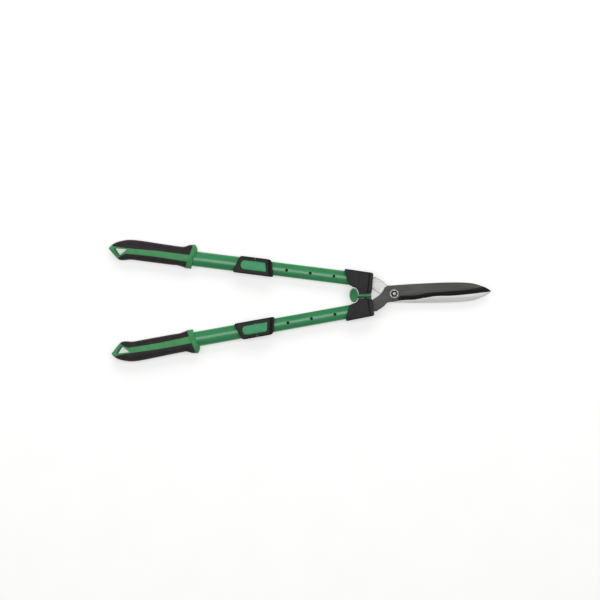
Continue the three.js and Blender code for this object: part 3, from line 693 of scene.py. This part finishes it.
def bracket_outline(side):
    inner_face = BRACKET_INNER_FACE[side]
    head_y = SIDES[side] * HEAD["y"]
    half_length = HEAD["half_length"] + HEAD_CLEARANCE
    half_width = HEAD["half_width"] + HEAD_CLEARANCE
    start = math.asin((inner_face - head_y) / half_width)
    turns = [start + (math.pi / 2 - start) * k / NOTCH_STEPS for k in range(NOTCH_STEPS + 1)]
    notch = [(HEAD["x"] + half_length * math.cos(a), head_y + half_width * math.sin(a)) for a in turns]
    corners = [
        BRACKET_FRONT["outer"],
        (BRACKET_FRONT["inner"], inner_face, BRACKET_FRONT["inner_rounding"]),
        *notch,
        BRACKET_REAR["inner"],
    ]
    in_handle_frame = [(*to_handle(x, y), *rest) for x, y, *rest in corners]
    return rounded([*in_handle_frame, BRACKET_REAR["outer"]])


def band_grooves(side):
    """V-shaped cutters along the front band, one for the front of the bracket and one for its back."""
    outer = Vector(to_handle(*BRACKET_FRONT["outer"][:2])) + Vector((BRACKET_BAND, BRACKET_BAND))
    inner = Vector(to_handle(BRACKET_FRONT["inner"], BRACKET_INNER_FACE[side]))
    inner += Vector((BRACKET_BAND, -BRACKET_BAND))
    depth = BRACKET_GROOVE["depth"]
    levels = ((BRACKET_GROOVE["floor"], -GROUND - depth), (BRACKET_GROOVE["width"], -GROUND + depth))
    cutters = []
    for face in (1, -1):
        rings = []
        for spread, height in levels:
            across = Vector((spread, 0))
            corners = (outer - across, outer + across, inner + across, inner - across)
            rings.append([upright(p, face * height) for p in corners])
        cutters.append(loft(rings))
    return cutters


def bracket_screws(side):
    """The screws at the back of a bracket: name, place, t, size."""
    tang = [
        (f"tang_screw_{side}_{i + 1}", place, TANG_SCREW_SIDE, TANG_SCREW)
        for i, place in enumerate(TANG_SCREW_PLACES)
    ]
    return [*tang, (f"tube_screw_{side}", TUBE_SCREW_PLACE, 0, TUBE_SCREW)]


def screw_hole(s, t, size):
    shank = rod(s, t, size["radius"] + GAP, SCREW_HEAD_LOW, size["top"] + GAP)
    head_top = SCREW_HEAD_LOW + size["head_height"]
    return join(shank, rod(s, t, size["head"] + GAP, 2 * GROUND, head_top + GAP))


def fastener(s, t, size, under):
    """A low-headed screw or rivet with a hexagonal recess in its head, at the back."""
    head_top = under + size["head_height"]
    shank = rod(s, t, size["radius"], (under + head_top) / 2, size["top"], FASTENER["shank_rim"])
    head = rod(s, t, size["head"], under, head_top, FASTENER["head_rim"])
    recess_top = under + size["head_height"] / 2
    recess = rod(s, t, size["head"] / 2, 2 * under, recess_top, steps=FASTENER["recess_sides"])
    return carve(join(head, shank), recess)


def make_bracket(side):
    half = -GROUND
    middle = -SIDES[side] * (BLADE_SPACE + BLADE_THICKNESS / 2)
    slot_half = BLADE_THICKNESS / 2 + GAP
    slot = block(
        (TANG_SLOT["start"], TANG_END + GAP),
        (TANG_SLOT["inner"], TANG_SLOT["outer"]),
        (middle - slot_half, middle + slot_half),
    )
    socket = oval_bar(INNER_TUBE, 2 * GAP, INNER_TUBE["from"] - GAP, INNER_TUBE["to"])
    area = rectangle(*(BRACKET_PANEL[edge] for edge in ("from", "to", "inner", "outer")))
    corners = [(*corner, BRACKET_PANEL["rounding"]) for corner in area]
    panel = solid(rounded(corners), half - BRACKET_PANEL["depth"], 2 * half)
    stem = cross_rod(STEM["x"], 0, STEM["radius"] + GAP, STEM["end"] - GAP, 0)
    stem.data.transform(HANDLE_FRAMES[side].inverted() @ PIVOT_FRAME)
    holes = [screw_hole(s, t, size) for _, s, t, size in bracket_screws(side)]
    body = solid(bracket_outline(side), -half, half, BRACKET_RIM)
    shape = carve(body, slot, socket, panel, stem, *band_grooves(side), *holes)
    add_piece(shape, f"bracket_{side}", HANDLE_FRAMES[side])
    for name, s, t, size in bracket_screws(side):
        add_piece(fastener(s, t, size, SCREW_HEAD_LOW), name, HANDLE_FRAMES[side])


def make_bumper():
    """An oval head with a dished face, a strip between the brackets, and a stem into the lower one."""
    wide, low, high = HEAD["half_width"], HEAD["low"], HEAD["high"]
    bottom = (HEAD_AXIS["radius"], high - HEAD_AXIS["depth"])
    top = spline([bottom, *((share * wide, high - depth) for share, depth in HEAD_TOP)])
    under = [(share * wide, low + rise) for share, rise in HEAD_UNDERSIDE]
    head = turned([*(tuple(p) for p in top), *under, (HEAD_AXIS["radius"], low)])
    head.data.transform(
        Matrix.Translation((HEAD["x"], HEAD["y"], 0)) @ Matrix.Diagonal((HEAD["half_length"] / wide, 1, 1, 1))
    )
    left, right = -BRACKET_INNER_FACE["lower"] + GAP, BRACKET_INNER_FACE["upper"] - GAP
    half = TAIL["half_height"]
    ridge, low_side = left + TAIL["slope"], half - TAIL["slope"]
    corners = [(left, -half), (right, -half), (right, half), (ridge, half), (left, low_side)]
    section = rounded([(y, z, TAIL["rounding"]) for y, z in corners])
    tail = solid(section, TAIL["back"], TAIL["front"], TAIL["rim"], lengthwise)
    stem = cross_rod(STEM["x"], 0, STEM["radius"], STEM["end"], left / 2, STEM["rim"])
    add_piece(join(head, tail, stem), "bumper", PIVOT_FRAME)


# --- Tubes ---


def tube_shell(tube):
    """An oval tube with rounded rims and an open inside."""
    start, end, wall = tube["from"], tube["to"], tube["wall"]
    size = (tube["width"] / 2, tube["height"] / 2)
    outside, inside = TUBE_RIM / 2, wall - TUBE_RIM / 2
    walls = [(0, start + TUBE_RIM), (0, end - TUBE_RIM), (outside, end), (inside, end)]
    walls += [(wall, end - TUBE_RIM), (wall, start + TUBE_RIM), (inside, start), (outside, start)]
    rings = [[(s, p.x, p.y) for p in ellipse(size[0] - depth, size[1] - depth)] for depth, s in walls]
    return loft(rings, ring_closed=True)


def paint_tube_shade(shape, tube, side):
    """The green paint stops at the tube's rims; its inner wall is painted near-black, a painted shade for the dark
    inside of the tube.
    """
    looks = [PAINTS[side], BLACKENED_AND_TUBE_SHADE]
    for look in looks:
        shape.data.materials.append(look)
    half_width, half_height = (tube["width"] - tube["wall"]) / 2, (tube["height"] - tube["wall"]) / 2
    # Faces inside the wall get the near-black: painted shade inside the tube
    for face in shape.data.polygons:
        _, t, z = face.center
        if (t / half_width) ** 2 + (z / half_height) ** 2 < 1:
            face.material_index = looks.index(BLACKENED_AND_TUBE_SHADE)


def make_tubes(side):
    reach = OUTER_TUBE["height"]
    latch_holes = [rod(STUD_PLACE - k * HOLE_PITCH, 0, HOLE_RADIUS, 0, reach) for k in range(HOLE_COUNT)]
    screw_hole_below = rod(TUBE_SCREW_PLACE, 0, TUBE_SCREW["radius"] + GAP, -reach, 0)
    inner = carve(tube_shell(INNER_TUBE), *latch_holes, screw_hole_below)
    paint_tube_shade(inner, INNER_TUBE, side)
    add_piece(inner, f"inner_tube_{side}", HANDLE_FRAMES[side])
    outer = carve(
        tube_shell(OUTER_TUBE),
        rod(STUD_PLACE, 0, STUD["radius"] + 2 * GAP, 0, reach),
        rod(LEAF_RIVET["place"], 0, LEAF_RIVET["radius"] + GAP, 0, reach),
        rod(COLLAR_RIVET_PLACE, 0, COLLAR_RIVET["radius"] + GAP, -reach, 0),
    )
    paint_tube_shade(outer, OUTER_TUBE, side)
    add_piece(outer, f"outer_tube_{side}", HANDLE_FRAMES[side])


# --- Latch ---


def front_lip():
    """The block that hollows the slope along the collar's slanted front edge."""
    (outer_s, outer_t, _), (inner_s, inner_t, _) = COLLAR_OUTLINE[0], COLLAR_OUTLINE[3]
    run = Vector((outer_s - inner_s, outer_t - inner_t))
    back, front, drop = COLLAR_LIP["back"], COLLAR_LIP["front"], COLLAR_LIP["drop"]
    section = []
    for k in range(COLLAR_LIP["steps"] + 1):
        part = k / COLLAR_LIP["steps"]
        hollow = COLLAR_LIP["sag"] * math.sin(math.pi * part)
        section.append(Vector((back + (front - back) * part, COLLAR["high"] - drop * part - hollow)))
    section += [Vector((front, 2 * COLLAR["high"])), Vector((back, 2 * COLLAR["high"]))]
    lip = solid(section, -run.length, 2 * run.length, lay=crosswise)
    turned_to = Matrix.Rotation(math.atan2(-run.x, run.y), 4, "Z")
    lip.data.transform(Matrix.Translation((inner_s, inner_t, 0)) @ turned_to)
    return lip


def make_collar(side):
    high, low = COLLAR["high"], COLLAR["low"]
    reach = 2 * high
    chamfer = block((0, OUTER_TUBE["to"]), (0, reach), (-reach, reach))
    turn(chamfer, math.pi / 2 - COLLAR_CHAMFER["angle"], "X", (0, COLLAR_CHAMFER["top"], high))
    rivet_top = low + COLLAR_RIVET["head_height"] + 2 * GAP
    shape = carve(
        solid(rounded(COLLAR_OUTLINE), low, high, COLLAR["rim"]),
        chamfer,
        front_lip(),
        oval_bar(OUTER_TUBE, 2 * GAP, OUTER_TUBE["from"] - GAP, OUTER_TUBE["to"]),
        oval_bar(INNER_TUBE, 2 * COLLAR["liner"], 0, INNER_TUBE["to"]),
        solid(grown_button(BUTTON["play"]), 0, reach),
        cross_rod(PIN["place"], PIN["z"], PIN["radius"] + GAP, -2 * PIN["end"], 2 * PIN["end"]),
        rod(COLLAR_RIVET_PLACE, 0, COLLAR_RIVET["head"] + GAP, 2 * low, rivet_top),
        rod(COLLAR_RIVET_PLACE, 0, COLLAR_RIVET["radius"] + GAP, 2 * low, 0),
    )
    add_piece(shape, f"latch_collar_{side}", HANDLE_FRAMES[side])


def grown_button(distance):
    """The button's outline, pushed outwards by a distance."""
    middle = (BUTTON_OUTLINE[3][0] + BUTTON_OUTLINE[2][0]) / 2
    return rounded([
        (s + math.copysign(1, s - middle) * distance, t + math.copysign(1, t) * distance, back + distance)
        for s, t, back in BUTTON_OUTLINE
    ])


def crowned_button():
    """The button's outer shape, its top slightly crowned."""
    edge_high = BUTTON["high"] - BUTTON["crown"]
    outline = anticlockwise(grown_button(0))
    rims = rim_profile(BUTTON["low"] - BUTTON["rim"], edge_high, BUTTON["rim"])
    rings = [[upright(p, h) for p in inset(outline, d)] for d, h in rims]
    top = rings[-1]
    middle = sum((Vector(p) for p in top), Vector()) / len(top)
    for scale in CROWN_RINGS:
        rise = BUTTON["crown"] * (1 - scale**2)
        rings.append([tuple(middle.lerp(Vector(p), scale) + rise * UP) for p in top])
    return loft(rings)


def make_button(side):
    """A hollow rocker on the pin, with a fork at its front end that lifts the stud."""
    reach = 2 * BUTTON["high"]
    rear_end = BUTTON_OUTLINE[2][0]
    rear_run = rear_end - PIN["place"] - 2 * PIN["radius"]
    rear_cut = block((0, reach), (-reach, reach), (-reach, 0))
    slope = math.atan2(BUTTON["tail"] - BUTTON["low"], rear_run)
    turn(rear_cut, -slope, "Y", (rear_end - rear_run, 0, BUTTON["low"]))
    fork_side = -BUTTON_OUTLINE[-1][1] - GAP
    half_gap = FORK["half_gap"]
    prongs = carve(
        block((FORK["from"], FORK["to"]), (-fork_side, fork_side), (FORK["low"], FORK["high"])),
        block((FORK["from"] + FORK["bridge"], OUTER_TUBE["to"]), (-half_gap, half_gap), (0, reach)),
    )
    fork = common(prongs, crowned_button())
    shape = carve(
        crowned_button(),
        solid(grown_button(-BUTTON["wall"]), 0, BUTTON["high"] - BUTTON["roof"]),
        block((0, OUTER_TUBE["to"]), (-reach, reach), (-reach, BUTTON["low"])),
        rear_cut,
        cross_rod(PIN["place"], PIN["z"], PIN["radius"] + GAP, -reach, reach),
    )
    add_piece(join(shape, fork), f"latch_button_{side}", HANDLE_FRAMES[side])


def make_latch(side):
    make_collar(side)
    make_button(side)
    pin = cross_rod(PIN["place"], PIN["z"], PIN["radius"], -PIN["end"], PIN["end"], PIN["rim"])
    add_piece(pin, f"latch_pin_{side}", HANDLE_FRAMES[side])
    inner_wall = OUTER_TUBE["height"] / 2 - OUTER_TUBE["wall"]
    rivet = fastener(COLLAR_RIVET_PLACE, 0, {**COLLAR_RIVET, "top": -inner_wall}, COLLAR["low"] + GAP)
    add_piece(rivet, f"collar_rivet_{side}", HANDLE_FRAMES[side])


# --- Grip ---

GRIP_OUTER_CURVE = spline(GRIP_OUTER_SIDE)
GRIP_INNER_CURVE = spline(GRIP_INNER_SIDE)


def grip_ring(s, shrink):
    """The grip's section at a place along it."""
    outer = height_at(GRIP_OUTER_CURVE, s)
    inner = height_at(GRIP_INNER_CURVE, s)
    middle, half_width = (outer + inner) / 2, max((outer - inner) / 2 - shrink, LEAST_HALF_WIDTH)
    part = min(max((s - GRIP_END["start"]) / (GRIP_END["tip"] - GRIP_END["start"]), 0), 1)
    ease = part * part * (3 - 2 * part)
    half_height = GRIP_HALF_HEIGHT + (GRIP_END["half_height"] - GRIP_HALF_HEIGHT) * ease
    half_height = min(half_height, GRIP_END["nose"] + GRIP_END["slope"] * half_width) - shrink
    power = 2 / GRIP_SQUARENESS
    ring = []
    for p in ellipse(1, 1):
        across = math.copysign(abs(p.x) ** power, p.x)
        up = math.copysign(abs(p.y) ** power, p.y)
        ring.append((s, middle + half_width * across, half_height * up))
    return ring


def grip_body(shrink=0.0):
    """The whole grip as one smooth block, with its stations closer together towards the tip."""
    start, tip = GRIP_OUTER_SIDE[0][0], GRIP_OUTER_SIDE[-1][0] - shrink
    parts = [math.sin(math.pi / 2 * k / GRIP_STATIONS) for k in range(GRIP_STATIONS + 1)]
    return loft([grip_ring(start + (tip - start) * part, shrink) for part in parts])


def green_region(grow):
    """The part of the grip that is green: the stripe, the frame round the eye, and the front end."""
    reach = 2 * GRIP_HALF_HEIGHT
    upper = [p + Vector((0, grow)) for p in spline(STRIPE)]
    back = spline(STRIPE_BACK)
    lower = [p - Vector((grow if p.x > OUTER_TUBE["to"] else 0, grow)) for p in back]
    stripe = solid([*upper, Vector(STRIPE_END), *lower], -reach, reach)
    front = block((-reach, grow), (-2 * reach, 2 * reach), (-reach, reach))
    return join(stripe, turn(front, PAD_FRONT["lean"], "Z", (PAD_FRONT["place"], 0, 0)))


def flange_solid():
    """A rim with a cone down to the tube. Each ring leans, so that its outer end is nearer the pivot."""
    rings = []
    for place, half_width, half_height, middle, lean in spline(FLANGE_RINGS, FLANGE_STEPS):
        slant = math.tan(math.radians(lean))
        rings.append([(place - slant * p.x, middle + p.x, p.y) for p in ellipse(half_width, half_height)])
    return loft(rings)


def eye_cutter():
    """The hanging eye: straight from the back, then flaring towards the mouth on the front."""
    reach = 2 * GRIP_HALF_HEIGHT
    levels = [(EYE, -reach), (EYE, EYE_TAPER[0]), (EYE_MOUTH, EYE_TAPER[1]), (EYE_MOUTH, reach)]
    return loft([[upright(p, height) for p in rounded(corners)] for corners, height in levels])


def make_grip(side):
    reach = 2 * GRIP_HALF_HEIGHT
    socket = oval_bar(OUTER_TUBE, 2 * GAP, 0, OUTER_TUBE["to"] + GAP)
    eye = eye_cutter()
    under_pads = grip_body(PAD_THICKNESS + GAP)
    core = join(common(grip_body(CORE_RECESS), green_region(0)), under_pads, flange_solid())
    add_piece(carve(core, copied(socket), copied(eye)), f"grip_core_{side}", HANDLE_FRAMES[side])

    pads = carve(grip_body(), grip_body(PAD_THICKNESS), socket, green_region(GAP), eye)
    length = (0, 2 * OUTER_TUBE["to"])
    for place, across in (("outer", (0, 2 * reach)), ("inner", (-2 * reach, 0))):
        pad = common(copied(pads), block(length, across, (-reach, reach)))
        add_piece(pad, f"grip_pad_{place}_{side}", HANDLE_FRAMES[side])
    bpy.data.objects.remove(pads)


# --- Pieces kept as the CAD made them ---


def finish_cad_nodes():
    """The pieces inside the tubes and the latch keep their CAD shape and get their finish."""
    for side in SIDES:
        for name in (f"tube_end_plug_{side}", f"latch_spring_{side}", f"spring_rivet_{side}"):
            slot = frame["nodes"][name].material_slots[0]
            slot.link = "OBJECT"
            slot.material = LOOKS[SLOT_OF[name]]


# --- Studio, in metres ---

VIEW_WIDTH = 1.26
VIEW_CENTRE = (-0.0012, -0.008, 0.016)
VIEW_TURN = math.radians(-1.5)
LENS = 180
FLOOR_SIZE = 14
FLOOR_LEVEL = -0.0003
FLOOR_THICKNESS = 1
# Lamps: size along x and y, power, place, tilt about x in degrees, and whether shiny pieces mirror them
LAMPS = {
    "softbox": (5.0, 1.15, 62, (0, 0.1, 2.6), 0, True),
    "key": (4.0, 2.0, 80, (0, 3.0, 2.4), -51, False),
}
SKY = (0.24, 0.24, 0.24, 1)


def make_surroundings():
    scene = bpy.context.scene
    scene.view_settings.view_transform = "Standard"
    world = bpy.data.worlds.new("studio")
    world.use_nodes = True
    world.node_tree.nodes["Background"].inputs["Color"].default_value = SKY
    scene.world = world

    half = FLOOR_SIZE / 2
    floor = block((-half, half), (-half, half), (FLOOR_LEVEL - FLOOR_THICKNESS, FLOOR_LEVEL))
    floor.name = "floor"
    floor.data.materials.append(floor_look())


def make_lamps():
    for name, (length, width, power, place, tilt, mirrored) in LAMPS.items():
        light = bpy.data.lights.new(name, "AREA")
        light.shape = "RECTANGLE"
        light.size, light.size_y = length, width
        light.energy = power
        lamp = bpy.data.objects.new(name, light)
        lamp.location = place
        lamp.rotation_euler = (math.radians(tilt), 0, 0)
        lamp.visible_camera = False
        lamp.visible_glossy = mirrored
        bpy.context.scene.collection.objects.link(lamp)


def make_camera():
    """A long lens straight above, so that the picture is nearly a plan."""
    camera = bpy.data.cameras.new("camera")
    camera.lens = LENS
    camera_object = bpy.data.objects.new("camera", camera)
    distance = VIEW_WIDTH * LENS / camera.sensor_width
    camera_object.location = Vector(VIEW_CENTRE) + distance * UP
    camera_object.rotation_euler = (0, 0, VIEW_TURN)
    bpy.context.scene.collection.objects.link(camera_object)
    bpy.context.scene.camera = camera_object


make_surroundings()
make_lamps()
make_camera()
make_blades()
make_washer_and_nut()
make_bolt()
make_bumper()
for side in SIDES:
    make_bracket(side)
    make_tubes(side)
    make_latch(side)
    make_grip(side)
finish_cad_nodes()
